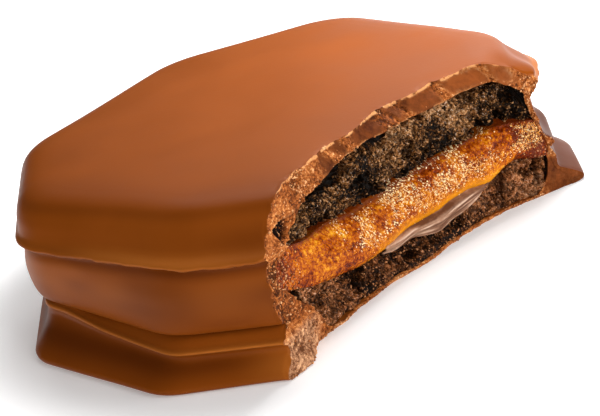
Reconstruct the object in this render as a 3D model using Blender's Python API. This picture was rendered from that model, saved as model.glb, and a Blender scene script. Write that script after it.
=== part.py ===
"""Chocolate-coated alfajor with one large bite taken out of its side.

Two cocoa biscuits with a layer of caramel between them sit in a milk-chocolate
coating.  The coating has an eight-sided top disc with a flared lip, a waist
round the filling, a groove, and a wide sloping foot.  Each sub-part is a closed
solid whose outlines are eight-cornered polygons with rounded corners, cut by
the arc of the bite.  Lengths below are in millimetres; meshes are in metres.
The origin is on the base plane under the middle of the whole, +Z is up.
"""
import bpy
import numpy as np

MM = 0.001

# Heights above the base plane
HEIGHT = 18.0
TOP_SHELL = 1.7
BASE_SHELL = 0.6
LIP_Z = 13.6
SEAM_Z = 5.4
CREASE_Z = 3.7
FOOT_EDGE_Z = 0.8

# Corners of the outlines, anticlockwise from the far left corner
TOP_CORNERS = ((-31.0, 7.2), (-31.0, -9.8), (-13.2, -25.2), (5.8, -31.6),
               (26.1, -13.5), (27.6, 5.1), (11.5, 29.6), (-10.7, 28.7))
LIP_CORNERS = ((-32.3, 8.6), (-31.9, -11.5), (-14.5, -29.0), (6.3, -36.1),
               (27.1, -10.7), (31.1, 4.8), (12.7, 32.1), (-11.3, 31.2))
CREASE_CORNERS = ((-32.0, 6.0), (-32.1, -8.7), (-17.2, -27.8), (5.8, -35.4),
                  (29.3, -9.8), (31.4, 7.6), (12.9, 31.0), (-10.9, 30.3))
FOOT_CORNERS = ((-33.2, 6.7), (-33.6, -12.6), (-19.5, -29.1), (5.8, -35.9),
                (31.8, -9.8), (33.5, 8.1), (13.8, 32.1), (-11.3, 31.8))
CORE_CORNERS = ((-31.0, 7.2), (-31.0, -9.8), (-13.2, -25.2), (5.8, -31.6),
                (27.9, -12.7), (29.5, 5.3), (11.5, 29.6), (-10.7, 28.7))
CORNER_ROUND = 7.0

# The bite is a vertical arc; every sub-part ends on it
BITE_CENTRE = (47.0, -63.0)
BITE_RADIUS = 61.3

# Filling and biscuits
WALL = 1.2              # from the core outline to the contents
SHOULDER_Z = (13.0, 16.0)   # between these the contents narrow to follow the top disc
GAP = 0.3               # free space between neighbouring solids
UPPER_BISCUIT_Z = (11.5, 16.0)
CARAMEL_Z = (4.9, 11.2)
LOWER_BISCUIT_Z = (0.9, 4.6)
BISCUIT_RECESS = 0.9    # how far the biscuits stop behind the coating's broken edge
CARAMEL_RECESS = 0.3
CARAMEL_BULGE = 1.0     # how far the caramel swells out of the bite
CONTENTS_ROUND = 0.6    # rounding of a layer's upper and lower edge

# Mesh resolution
SIDE_STEPS = 60         # along the outline, from one end of the bite to the other
CORNER_CROWDING = 4.0   # how much closer together the steps are at a corner
CORNER_REACH = 0.09     # radians either side of a corner that the crowding covers
FLAT_STEPS = 3          # across a flat face
OUTLINE_POINTS = 720    # sampling of an outline before it is cut by the bite
MERGE_DISTANCE = 0.00002

TOP, LIP, CREASE, FOOT, CORE = (
    np.array(corners) for corners in
    (TOP_CORNERS, LIP_CORNERS, CREASE_CORNERS, FOOT_CORNERS, CORE_CORNERS))


def mix(first, second, share):
    """Point list between two lists: share 0 is the first, 1 the second."""
    return first * (1.0 - share) + second * share


def smooth(x):
    """Ease from 0 to 1: 3x^2 - 2x^3 of x held between 0 and 1."""
    x = np.clip(x, 0.0, 1.0)
    return x * x * (3.0 - 2.0 * x)


def line_crossing(point_a, way_a, point_b, way_b):
    """Where two lines cross, each given by a point and a direction."""
    step = np.linalg.solve(np.array([way_a, -way_b]).T, point_b - point_a)
    return point_a + way_a * step[0]


def rounded_outline(corners, inset, radius):
    """Polar outline of a polygon moved inward by inset, with arcs at its corners.

    Each side is shifted along its inward normal, neighbours are crossed to get the
    new corners, and each corner is replaced by an arc that touches both sides.
    Returns the polar angles, in rising order, and the radii about the origin.
    """
    ways = np.roll(corners, -1, axis=0) - corners
    ways /= np.linalg.norm(ways, axis=1)[:, None]
    inward = np.stack([-ways[:, 1], ways[:, 0]], axis=1)
    starts = corners + inward * inset
    points = []
    for i in range(len(corners)):
        before, after = ways[i - 1], ways[i]
        corner = line_crossing(starts[i - 1], before, starts[i], after)
        turn = np.arccos(np.clip(before @ after, -1.0, 1.0))
        first = corner - before * radius * np.tan(turn / 2.0)
        centre = first + inward[i - 1] * radius
        angles = np.linspace(0.0, turn, 9)
        arm = first - centre
        arm_left = np.array([-arm[1], arm[0]])
        points.append(centre + np.cos(angles)[:, None] * arm + np.sin(angles)[:, None] * arm_left)
    points = np.concatenate(points)
    points = np.concatenate([points, points[:1]])
    spread = np.linspace(0.0, 1.0, 12, endpoint=False)[:, None, None]
    points = mix(points[None, :-1], points[None, 1:], spread).transpose(1, 0, 2).reshape(-1, 2)
    angle = np.arctan2(points[:, 1], points[:, 0])
    order = np.argsort(angle)
    return angle[order], np.hypot(points[order, 0], points[order, 1])


def on_outline(outline, angle):
    """Points of a polar outline at the given angles."""
    radius = np.interp(angle, outline[0], outline[1], period=2.0 * np.pi)
    return np.stack([radius * np.cos(angle), radius * np.sin(angle)], axis=-1)


def bite_ends(outline, recess):
    """Angles at which an outline meets the bite arc: the left end, then the right end.

    The part that is left runs clockwise from the left end, round the back, to the
    right end, so the right end's angle is given one turn less than the left end's.
    """
    angle = np.linspace(-np.pi, np.pi, OUTLINE_POINTS)
    point = on_outline(outline, angle)
    outside = np.hypot(point[:, 0] - BITE_CENTRE[0], point[:, 1] - BITE_CENTRE[1])
    outside = outside - (BITE_RADIUS + recess)
    change = np.flatnonzero(np.sign(outside[:-1]) != np.sign(outside[1:]))
    share = outside[change] / (outside[change] - outside[change + 1])
    crossing = mix(angle[change], angle[change + 1], share)
    return crossing[0], crossing[1] - 2.0 * np.pi


def side_angles(left, right):
    """Angles from one bite end to the other, closer together at the eight corners.

    The density of the steps is 1 plus a bell curve over each corner, and the angles
    are read off where the running sum of the density reaches even shares.
    """
    corner = np.arctan2(LIP[:, 1], LIP[:, 0])
    angle = np.linspace(left, right, OUTLINE_POINTS)
    away = (angle[:, None] - corner[None, :] + np.pi) % (2.0 * np.pi) - np.pi
    density = 1.0 + CORNER_CROWDING * np.exp(-(away / CORNER_REACH) ** 2).sum(axis=1)
    total = np.concatenate([[0.0], np.cumsum((density[1:] + density[:-1]) / 2.0)])
    return np.interp(np.linspace(0.0, 1.0, SIDE_STEPS + 1), total / total[-1], angle)


def level(corners, inset, z, radius=CORNER_ROUND, recess=0.0):
    """One height of a sub-part: its outline from bite end to bite end, and the bite line.

    The bite line has as many points as the outline, spaced evenly along the arc
    between the same two ends.
    """
    outline = rounded_outline(corners, inset, radius)
    left, right = bite_ends(outline, recess)
    side = on_outline(outline, side_angles(left, right))
    from_bite = side[[0, -1]] - BITE_CENTRE
    turn = np.arctan2(from_bite[:, 1], from_bite[:, 0])
    sweep = np.linspace(turn[0], turn[1], SIDE_STEPS + 1)
    arc = np.stack([np.cos(sweep), np.sin(sweep)], axis=-1) * (BITE_RADIUS + recess)
    line = arc + BITE_CENTRE
    line[0], line[-1] = side[0], side[-1]
    height = np.full((SIDE_STEPS + 1, 1), z)
    return np.hstack([side, height]), np.hstack([line, height])


def flat_face(line, side):
    """Rows of a flat face, from the bite line to just short of the outline."""
    shares = np.arange(FLAT_STEPS) / FLAT_STEPS
    return [mix(line, side, share) for share in shares]


def skin(levels):
    """Rows of a skin that runs from the top's bite line over the side to the base's."""
    rows = flat_face(levels[0][1], levels[0][0])
    rows += [side for side, line in levels]
    rows += flat_face(levels[-1][1], levels[-1][0])[::-1]
    return np.array(rows)


def grid_faces(rows, columns, offset=0, flip=False):
    """Quads of a grid of points numbered row by row."""
    first = np.arange(rows - 1)[:, None] * columns + np.arange(columns - 1)[None, :] + offset
    quads = np.stack([first, first + columns, first + columns + 1, first + 1], axis=-1)
    quads = quads.reshape(-1, 4)
    return quads[:, ::-1] if flip else quads


def closed_mesh(name, points, quads):
    """Mesh object from points in millimetres; coincident points are merged."""
    mesh = bpy.data.meshes.new(name)
    mesh.from_pydata((points.reshape(-1, 3) * MM).tolist(), [], quads.tolist())
    piece = bpy.data.objects.new(name, mesh)
    bpy.context.scene.collection.objects.link(piece)
    weld = piece.modifiers.new("weld", "WELD")
    weld.merge_threshold = MERGE_DISTANCE
    mesh.shade_smooth()
    mesh.set_sharp_from_angle(angle=np.radians(40.0))
    return piece


def finish(name, colour, roughness):
    """Plain food material."""
    material = bpy.data.materials.new(name)
    material.use_nodes = True
    shader = material.node_tree.nodes["Principled BSDF"]
    shader.inputs["Base Color"].default_value = (*colour, 1.0)
    shader.inputs["Roughness"].default_value = roughness
    shader.inputs["Metallic"].default_value = 0.0
    return material


def coating_levels():
    """Outer skin of the coating, from the top face down to the base."""
    shoulder = mix(TOP, LIP, 0.2)
    waist_top = mix(LIP, CREASE, 0.3)
    waist = mix(LIP, CREASE, 0.5)
    waist_low = mix(LIP, CREASE, 0.75)
    return [level(TOP, 1.5, HEIGHT, 6.0),
            level(TOP, 0.6, HEIGHT - 0.3, 6.5),
            level(TOP, 0.0, HEIGHT - 1.0),
            level(shoulder, -0.1, HEIGHT - 2.0),
            level(LIP, 0.3, LIP_Z + 0.6),
            level(LIP, 0.0, LIP_Z),
            level(LIP, 0.2, LIP_Z - 0.7),
            level(LIP, 1.1, LIP_Z - 1.1, 8.0),
            level(waist_top, 1.0, LIP_Z - 1.9, 9.0),
            level(waist, 0.1, 9.5, 10.0),
            level(waist_low, 0.2, 7.3, 10.0),
            level(CREASE, 0.5, SEAM_Z + 0.7, 9.0),
            level(CREASE, 0.9, SEAM_Z, 9.0),
            level(CREASE, 0.3, CREASE_Z + 0.4, 7.0),
            level(CREASE, 0.0, CREASE_Z, 6.0),
            level(mix(CREASE, FOOT, 0.6), 0.1, 2.0),
            level(FOOT, 0.0, FOOT_EDGE_Z),
            level(FOOT, 0.2, 0.3),
            level(FOOT, 0.8, 0.0)]


def core_level(inset, z, recess=0.0):
    """Level of the contents: the core outline, narrowed to the top outline at the shoulder."""
    low, high = SHOULDER_Z
    return level(mix(CORE, TOP, smooth((z - low) / (high - low))), inset, z, recess=recess)


def cavity_levels(count):
    """Inner skin of the coating, as many levels as the outer skin has."""
    top = HEIGHT - TOP_SHELL
    heights = np.linspace(top - CONTENTS_ROUND, BASE_SHELL + CONTENTS_ROUND, count - 2)
    return [core_level(WALL + CONTENTS_ROUND, top),
            *(core_level(WALL, z) for z in heights),
            core_level(WALL + CONTENTS_ROUND, BASE_SHELL)]


def make_coating():
    """Coating: outer skin, inner skin, and the broken edge that joins them at the bite."""
    outer_levels = coating_levels()
    outer = skin(outer_levels)
    inner = skin(cavity_levels(len(outer_levels)))
    rows, columns = outer.shape[:2]
    count = rows * columns
    index = np.arange(count).reshape(rows, columns)
    rim = np.concatenate([index[0], index[1:, -1], index[-1, -2::-1], index[-2:0:-1, 0]])
    following = np.roll(rim, -1)
    edge = np.stack([rim, following, following + count, rim + count], axis=-1)
    quads = np.concatenate([grid_faces(rows, columns, flip=True),
                            grid_faces(rows, columns, offset=count),
                            edge[:, ::-1]])
    piece = closed_mesh("chocolate_coating", np.concatenate([outer, inner]), quads)
    piece.data.materials.append(finish("milk_chocolate", (0.33, 0.125, 0.045), 0.42))


def make_layer(name, z_range, recess, bulge, colour, roughness):
    """Layer that runs through the food: flat faces, rounded edges, and a bitten face.

    The bitten face swells out by bulge, as half a sine over the layer's height, faded
    to nothing towards both ends of the bite.
    """
    low, high = z_range
    inset = WALL + GAP
    # (share of the edge rounding moved inward, share of it moved up or down)
    profile = ((1.0, 0.0), (0.3, 0.3), (0.0, 1.0))
    heights = [(high - CONTENTS_ROUND * down, inward) for inward, down in profile]
    heights += [(mix(low, high, share), 0.0) for share in (0.65, 0.5, 0.35)]
    heights += [(low + CONTENTS_ROUND * up, inward) for inward, up in profile[::-1]]
    levels = [core_level(inset + CONTENTS_ROUND * inward, z, recess) for z, inward in heights]
    share = np.linspace(0.0, 1.0, SIDE_STEPS + 1)
    fade = smooth(share / 0.25) * smooth((1.0 - share) / 0.25)
    face = []
    for (z, inward), (side, line) in zip(heights, levels):
        out_way = np.array(BITE_CENTRE) - line[:, :2]
        out_way /= np.linalg.norm(out_way, axis=1)[:, None]
        swell = bulge * np.sin(np.pi * (z - low) / (high - low)) * fade
        moved = line.copy()
        moved[:, :2] += out_way * swell[:, None]
        face.append(moved)
    points = np.concatenate([skin(levels), np.array(face[-2:0:-1])])
    points = np.concatenate([points, points[:1]])
    rows, columns = points.shape[:2]
    piece = closed_mesh(name, points, grid_faces(rows, columns, flip=True))
    piece.data.materials.append(finish(name + "_finish", colour, roughness))


def clear_scene():
    """Remove whatever the file holds before building."""
    for item in list(bpy.data.objects):
        bpy.data.objects.remove(item, do_unlink=True)


clear_scene()
make_coating()
make_layer("upper_biscuit", UPPER_BISCUIT_Z, BISCUIT_RECESS, 0.3, (0.035, 0.018, 0.012), 0.9)
make_layer("caramel_filling", CARAMEL_Z, CARAMEL_RECESS, CARAMEL_BULGE, (0.58, 0.22, 0.03), 0.3)
make_layer("lower_biscuit", LOWER_BISCUIT_Z, BISCUIT_RECESS, 0.2, (0.06, 0.028, 0.018), 0.9)
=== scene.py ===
"""Looks of a chocolate-coated alfajor with one large bite taken out of its side.

The coating, the two cocoa biscuits and the caramel are each one closed surface, worked
out as arrays on a grid, with the relief of the bite in the mesh.  Crumbs are scattered
over the bite.  Tables and point arrays are in millimetres, meshes are in metres, and
+Z is up.
"""
import itertools

import bpy
import numpy as np
from mathutils import Matrix, Vector


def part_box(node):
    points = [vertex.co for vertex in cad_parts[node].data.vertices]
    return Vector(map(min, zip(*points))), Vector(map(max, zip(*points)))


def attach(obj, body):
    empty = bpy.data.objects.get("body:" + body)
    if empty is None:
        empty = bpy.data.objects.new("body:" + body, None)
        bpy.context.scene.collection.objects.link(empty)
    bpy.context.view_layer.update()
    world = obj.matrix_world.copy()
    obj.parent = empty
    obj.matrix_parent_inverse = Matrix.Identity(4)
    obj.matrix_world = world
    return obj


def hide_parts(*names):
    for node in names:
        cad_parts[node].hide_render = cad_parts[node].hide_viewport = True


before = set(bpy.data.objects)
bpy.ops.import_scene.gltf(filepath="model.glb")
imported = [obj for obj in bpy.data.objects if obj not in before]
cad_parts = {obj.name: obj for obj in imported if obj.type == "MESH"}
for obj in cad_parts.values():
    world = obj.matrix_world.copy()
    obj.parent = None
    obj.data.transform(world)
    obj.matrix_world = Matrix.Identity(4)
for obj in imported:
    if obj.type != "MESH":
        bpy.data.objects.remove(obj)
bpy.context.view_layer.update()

MM = 0.001


def heights_of(node):
    """Lowest and highest z of a construction node, in millimetres."""
    low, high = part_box(node)
    return low[2] / MM, high[2] / MM


# Heights from the construction
HEIGHT = heights_of("chocolate_coating")[1]
UPPER_Z = heights_of("upper_biscuit")
CARAMEL_Z = heights_of("caramel_filling")
LOWER_Z = heights_of("lower_biscuit")
LIP_Z = 13.6
SEAM_Z = 5.4
CREASE_Z = 3.7
FOOT_EDGE_Z = 0.8
TOP_SHELL = 1.7
BASE_SHELL = 0.6

# Corners of the outlines, anticlockwise from the far left corner
TOP = np.array(((-31.0, 7.2), (-31.0, -9.8), (-13.2, -25.2), (5.8, -31.6),
                (26.1, -13.5), (27.6, 5.1), (11.5, 29.6), (-10.7, 28.7)))
LIP = np.array(((-32.3, 8.6), (-31.9, -11.5), (-14.5, -29.0), (6.3, -36.1),
                (27.1, -10.7), (31.1, 4.8), (12.7, 32.1), (-11.3, 31.2)))
CREASE = np.array(((-32.0, 6.0), (-32.1, -8.7), (-17.2, -27.8), (5.8, -35.4),
                   (29.3, -9.8), (31.4, 7.6), (12.9, 31.0), (-10.9, 30.3)))
FOOT = np.array(((-33.2, 6.7), (-33.6, -12.6), (-19.5, -29.1), (5.8, -35.9),
                 (31.8, -9.8), (33.5, 8.1), (13.8, 32.1), (-11.3, 31.8)))
CORE = np.array(((-31.0, 7.2), (-31.0, -9.8), (-13.2, -25.2), (5.8, -31.6),
                 (27.9, -12.7), (29.5, 5.3), (11.5, 29.6), (-10.7, 28.7)))
CORNER_ROUND = 7.0
DISC_ROUND = np.array((8.0, 9.0, 17.0, 7.0, 8.0, 8.0, 9.0, 9.0))   # one for each corner
WAIST_ROUND = np.array((9.0, 11.0, 14.0, 9.0, 10.0, 10.0, 10.0, 10.0))

# The bite is a vertical arc
BITE_CENTRE = np.array((47.0, -63.0))
BITE_RADIUS = 61.3
BITE_TURNS = np.radians((141.0, 108.6))     # from its left end to its right end
BITE_LENGTH = BITE_RADIUS * (BITE_TURNS[0] - BITE_TURNS[1])

WALL = 1.2
SHOULDER_Z = (13.0, 16.0)
GAP = 0.3
EDGE_ROUND = 0.6


# ---------------------------------------------------------------- numbers and noise

def mix(first, second, share):
    """Value between two: share 0 is the first, 1 the second."""
    return first * (1.0 - share) + second * share


def smooth(x):
    """Ease from 0 to 1: 3x^2 - 2x^3 of x held between 0 and 1."""
    x = np.clip(x, 0.0, 1.0)
    return x * x * (3.0 - 2.0 * x)


def bell(x):
    """Bell curve exp(-x^2)."""
    return np.exp(-x * x)


def hashed(cell, seed):
    """Repeatable number from 0 to 1 for each whole-numbered cell, by mixing its bits."""
    x, y, z = (cell[..., axis].astype(np.int64) for axis in range(3))
    bits = (x * 374761393 + y * 668265263 + z * 1442695041 + seed * 1274126177) & 0xFFFFFFFF
    bits = ((bits ^ (bits >> 13)) * 1274126177) & 0xFFFFFFFF
    return ((bits ^ (bits >> 16)) & 0xFFFFFF) / float(0x1000000)


def cloud(points, size, seed, octaves=3):
    """Soft uneven value from about -1 to 1 at each point.

    Random values on a cubic lattice are eased between its corners; each further octave
    has cells half the size and counts half as much.
    """
    total, weight, whole = 0.0, 1.0, 0.0
    for octave in range(octaves):
        place = points / size * 2.0 ** octave + 17.3 * octave
        cell = np.floor(place)
        share = smooth(place - cell)
        value = 0.0
        for corner in itertools.product((0, 1), repeat=3):
            near = np.prod(np.where(corner, share, 1.0 - share), axis=-1)
            value = value + near * hashed(cell + corner, seed + octave)
        total = total + weight * (2.0 * value - 1.0)
        whole += weight
        weight *= 0.5
    return total / whole


def grains(points, size, seed):
    """Closeness to grain centres and a random number of the nearest grain.

    One centre sits at a random place in each cubic cell of the given size.  Returns the
    distance to the nearest, the distance to the next, and the nearest one's number.
    """
    place = points / size
    base = np.floor(place)
    nearest = np.full(points.shape[:-1], 9.0)
    second = nearest.copy()
    number = np.zeros(points.shape[:-1])
    for step in itertools.product((-1, 0, 1), repeat=3):
        cell = base + step
        centre = cell + np.stack([hashed(cell, seed + axis) for axis in range(3)], axis=-1)
        distance = np.linalg.norm(place - centre, axis=-1)
        closer = distance < nearest
        second = np.where(closer, nearest, np.minimum(second, distance))
        number = np.where(closer, hashed(cell, seed + 3), number)
        nearest = np.where(closer, distance, nearest)
    return nearest, second, number


def lumps(points, size, seed):
    """Rounded bumps from 0 in the clefts between grains to about 1 on top of a grain."""
    nearest, second, number = grains(points, size, seed)
    return smooth((second - nearest) * 1.6) * (0.55 + 0.45 * number)


def wobble(points, size, seed, octaves=2):
    """Three clouds, one for each direction."""
    return np.stack([cloud(points, size, seed + 40 * axis, octaves) for axis in range(3)], axis=-1)


# ---------------------------------------------------------------- outlines and grids

def line_crossing(point_a, way_a, point_b, way_b):
    """Where two lines cross, each given by a point and a direction."""
    step = np.linalg.solve(np.array([way_a, -way_b]).T, point_b - point_a)
    return point_a + way_a * step[0]


def rounded_outline(corners, inset, radius):
    """Polar outline of a polygon moved inward by inset, with arcs at its corners.

    Each side is shifted along its inward normal, neighbours are crossed to get the
    new corners, and each corner is replaced by an arc that touches both sides.  The
    inset is one number or one for each side.  Returns the polar angles, in rising
    order, and the radii about the origin.
    """
    ways = np.roll(corners, -1, axis=0) - corners
    ways /= np.linalg.norm(ways, axis=1)[:, None]
    inward = np.stack([-ways[:, 1], ways[:, 0]], axis=1)
    starts = corners + inward * np.broadcast_to(inset, len(corners))[:, None]
    radii = np.broadcast_to(radius, len(corners))
    points = []
    for i in range(len(corners)):
        before, after = ways[i - 1], ways[i]
        corner = line_crossing(starts[i - 1], before, starts[i], after)
        turn = np.arccos(np.clip(before @ after, -1.0, 1.0))
        first = corner - before * radii[i] * np.tan(turn / 2.0)
        centre = first + inward[i - 1] * radii[i]
        angles = np.linspace(0.0, turn, 17)
        arm = first - centre
        arm_left = np.array([-arm[1], arm[0]])
        points.append(centre + np.cos(angles)[:, None] * arm + np.sin(angles)[:, None] * arm_left)
    points = np.concatenate(points)
    points = np.concatenate([points, points[:1]])
    spread = np.linspace(0.0, 1.0, 24, endpoint=False)[:, None, None]
    points = mix(points[None, :-1], points[None, 1:], spread).transpose(1, 0, 2).reshape(-1, 2)
    angle = np.arctan2(points[:, 1], points[:, 0])
    order = np.argsort(angle)
    return angle[order], np.hypot(points[order, 0], points[order, 1])


def on_outline(outline, angle):
    """Points of a polar outline at the given angles."""
    radius = np.interp(angle, outline[0], outline[1], period=2.0 * np.pi)
    return np.stack([radius * np.cos(angle), radius * np.sin(angle)], axis=-1)


def bite_ends(outline, recess):
    """Angles at which an outline meets the bite arc: left end, then right end less one turn."""
    angle = np.linspace(-np.pi, np.pi, 1441)
    point = on_outline(outline, angle)
    outside = np.hypot(point[:, 0] - BITE_CENTRE[0], point[:, 1] - BITE_CENTRE[1])
    outside = outside - (BITE_RADIUS + recess)
    change = np.flatnonzero(np.sign(outside[:-1]) != np.sign(outside[1:]))
    share = outside[change] / (outside[change] - outside[change + 1])
    crossing = mix(angle[change], angle[change + 1], share)
    return crossing[0], crossing[1] - 2.0 * np.pi


def side_angles(left, right, columns):
    """Angles from one bite end to the other, closer together at the corners and both ends.

    The density of the steps is 1 plus a bell curve over each corner and each end, and
    the angles are read off where its running sum reaches even shares.
    """
    corner = np.arctan2(LIP[:, 1], LIP[:, 0])
    angle = np.linspace(left, right, 2001)
    away = (angle[:, None] - corner[None, :] + np.pi) % (2.0 * np.pi) - np.pi
    density = 1.0 + 2.5 * bell(away / 0.09).sum(axis=1)
    density = density + 7.0 * bell((angle - left) / 0.12) + 7.0 * bell((angle - right) / 0.12)
    total = np.concatenate([[0.0], np.cumsum((density[1:] + density[:-1]) / 2.0)])
    return np.interp(np.linspace(0.0, 1.0, columns), total / total[-1], angle)


def level(corners, inset, z, columns, radius=CORNER_ROUND, recess=0.0):
    """One height of a piece: its outline from bite end to bite end, and the bite line."""
    outline = rounded_outline(corners, inset, radius)
    left, right = bite_ends(outline, recess)
    side = on_outline(outline, side_angles(left, right, columns))
    from_bite = side[[0, -1]] - BITE_CENTRE
    turn = np.arctan2(from_bite[:, 1], from_bite[:, 0])
    sweep = np.linspace(turn[0], turn[1], columns)
    line = np.stack([np.cos(sweep), np.sin(sweep)], axis=-1) * (BITE_RADIUS + recess) + BITE_CENTRE
    line[0], line[-1] = side[0], side[-1]
    height = np.full((columns, 1), z)
    return np.hstack([side, height]), np.hstack([line, height])


def fine_rows(rows, spacing):
    """Smooth curve through the rows (Catmull-Rom), with 2 or more steps between each two.

    The steps are no longer than the spacing, on average along the rows.
    """
    rows = np.asarray(rows)
    ends = np.concatenate([[2.0 * rows[0] - rows[1]], rows, [2.0 * rows[-1] - rows[-2]]])
    fine = []
    for i in range(len(rows) - 1):
        a, b, c, d = ends[i:i + 4]
        length = np.linalg.norm(c - b, axis=-1).mean()
        t = np.linspace(0.0, 1.0, max(2, int(np.ceil(length / spacing))), endpoint=False)[:, None, None]
        fine.append(b + 0.5 * t * (c - a + t * (2.0 * a - 5.0 * b + 4.0 * c - d
                                                 + t * (3.0 * (b - c) + d - a))))
    return np.concatenate([*fine, rows[-1:]])


def flat_rows(line, side, count, crowding):
    """Rows of a flat face from the bite line to just short of the outline, closest at the bite."""
    shares = (np.arange(count) / count) ** crowding
    return np.array([mix(line, side, share) for share in shares])


def grid_quads(index):
    """Quads of a grid of point numbers, turning right-handed from rows to columns."""
    quads = np.stack([index[:-1, :-1], index[1:, :-1], index[1:, 1:], index[:-1, 1:]], axis=-1)
    return quads.reshape(-1, 4)


def enclosed(points, triangles):
    """Volume inside a closed surface, negative when its faces point inwards."""
    a, b, c = (points[triangles[:, corner]] for corner in range(3))
    return (np.cross(a, b) * c).sum() / 6.0


def make_piece(name, points, quads, values, node, caps=()):
    """Mesh object from points in millimetres, quads and end caps of point numbers.

    Quads that have two equal corners become triangles, points that no face uses are left
    out, and all faces are turned round if they enclose a negative volume.  Each named
    value becomes a point attribute.
    """
    repeat = quads == np.roll(quads, 1, axis=1)
    whole = quads[~repeat.any(axis=1)]
    pinched = repeat.sum(axis=1) == 1
    thirds = quads[pinched][~repeat[pinched]].reshape(-1, 3)
    fans = [np.stack([np.full(len(cap) - 2, cap[0]), cap[1:-1], cap[2:]], axis=1) for cap in caps]
    triangles = np.concatenate([whole[:, :3], whole[:, [0, 2, 3]], thirds, *fans])
    way = 1 if enclosed(points, triangles) > 0.0 else -1
    flat = np.concatenate([whole[:, ::way].ravel(), thirds[:, ::way].ravel(),
                           *(cap[::way] for cap in caps)])
    used, corners = np.unique(flat, return_inverse=True)
    sizes = np.concatenate([np.full(len(whole), 4), np.full(len(thirds), 3),
                            [len(cap) for cap in caps]]).astype(np.int32)
    mesh = bpy.data.meshes.new(name)
    mesh.vertices.add(len(used))
    mesh.vertices.foreach_set("co", (points[used] * MM).astype(np.float32).ravel())
    mesh.loops.add(len(corners))
    mesh.loops.foreach_set("vertex_index", corners.astype(np.int32))
    mesh.polygons.add(len(sizes))
    mesh.polygons.foreach_set("loop_start", np.cumsum(np.append(0, sizes[:-1])).astype(np.int32))
    mesh.update(calc_edges=True)
    for key, value in values.items():
        layer = mesh.attributes.new(key, "FLOAT", "POINT")
        layer.data.foreach_set("value", value[used].astype(np.float32))
    mesh.shade_smooth()
    piece = bpy.data.objects.new(name, mesh)
    bpy.context.scene.collection.objects.link(piece)
    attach(piece, "root")
    if node:
        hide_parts(node)
    return piece


# ---------------------------------------------------------------- places on the bite

def bite_place(points):
    """Share of the way along the bite, depth behind its arc, and the way out of it."""
    arm = points[..., :2] - BITE_CENTRE
    reach = np.hypot(arm[..., 0], arm[..., 1])
    turn = np.arctan2(arm[..., 1], arm[..., 0])
    share = (turn - BITE_TURNS[0]) / (BITE_TURNS[1] - BITE_TURNS[0])
    out = np.zeros(points.shape)
    out[..., :2] = -arm / reach[..., None]
    return share, reach - BITE_RADIUS, out


def along(share, table):
    """Value along the bite from (share, value) pairs, with the kinks averaged away."""
    shares, values = np.array(table).T
    near = np.linspace(-0.02, 0.02, 5)
    return np.mean([np.interp(share + step, shares, values) for step in near], axis=0)


# ---------------------------------------------------------------- coating

COATING_COLUMNS = 360
COATING_STEP = 0.435     # longest row spacing down the side
EDGE_STEPS = 30         # across the broken edge
FRONT_SIDE, RIGHT_SIDE = 2, 4       # sides of the outlines that the bite ends on

# How much further in each side of the disc's edge, the lip and the waist lies
DISC_TRIM = np.array((0.0, 0.0, 0.0, 0.0, 0.1, -0.2, -0.45, -1.35))
LIP_TRIM = np.array((0.0, 0.0, 0.0, 0.0, 0.0, 0.3, 0.0, 0.0))
RIGHT = np.eye(8)[RIGHT_SIDE]
BACK_LEFT = np.eye(8)[7]

# Thickness of the front and right walls by height, measured in from the core outline
FRONT_WALL = ((0.6, 4.6), (1.6, 4.2), (3.7, 2.9), (6.3, 0.7), (8.1, -0.7), (9.1, -2.0),
              (10.7, -2.1), (11.4, -1.6), (12.1, 0.1), (13.0, 1.0), (14.0, 2.2), (15.0, 3.4),
              (16.3, 4.4))
RIGHT_WALL = ((0.6, 1.6), (2.4, 0.6), (3.9, 0.2), (5.7, 0.2), (7.9, 0.6), (9.8, 1.1),
              (12.6, 1.4), (14.4, 1.3), (15.4, 1.5), (16.3, 1.8))

# Height of the top shell's underside along the bite
UNDERSIDE = ((-0.15, 14.6), (0.0, 14.9), (0.06, 15.3), (0.12, 15.3), (0.18, 15.8), (0.22, 16.2),
             (0.30, 16.2), (0.34, 16.4), (0.38, 16.3), (0.43, 16.0), (0.52, 16.1), (0.62, 16.0),
             (0.69, 15.9), (0.74, 16.1), (0.83, 15.9), (0.94, 15.6), (1.0, 15.0))


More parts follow.
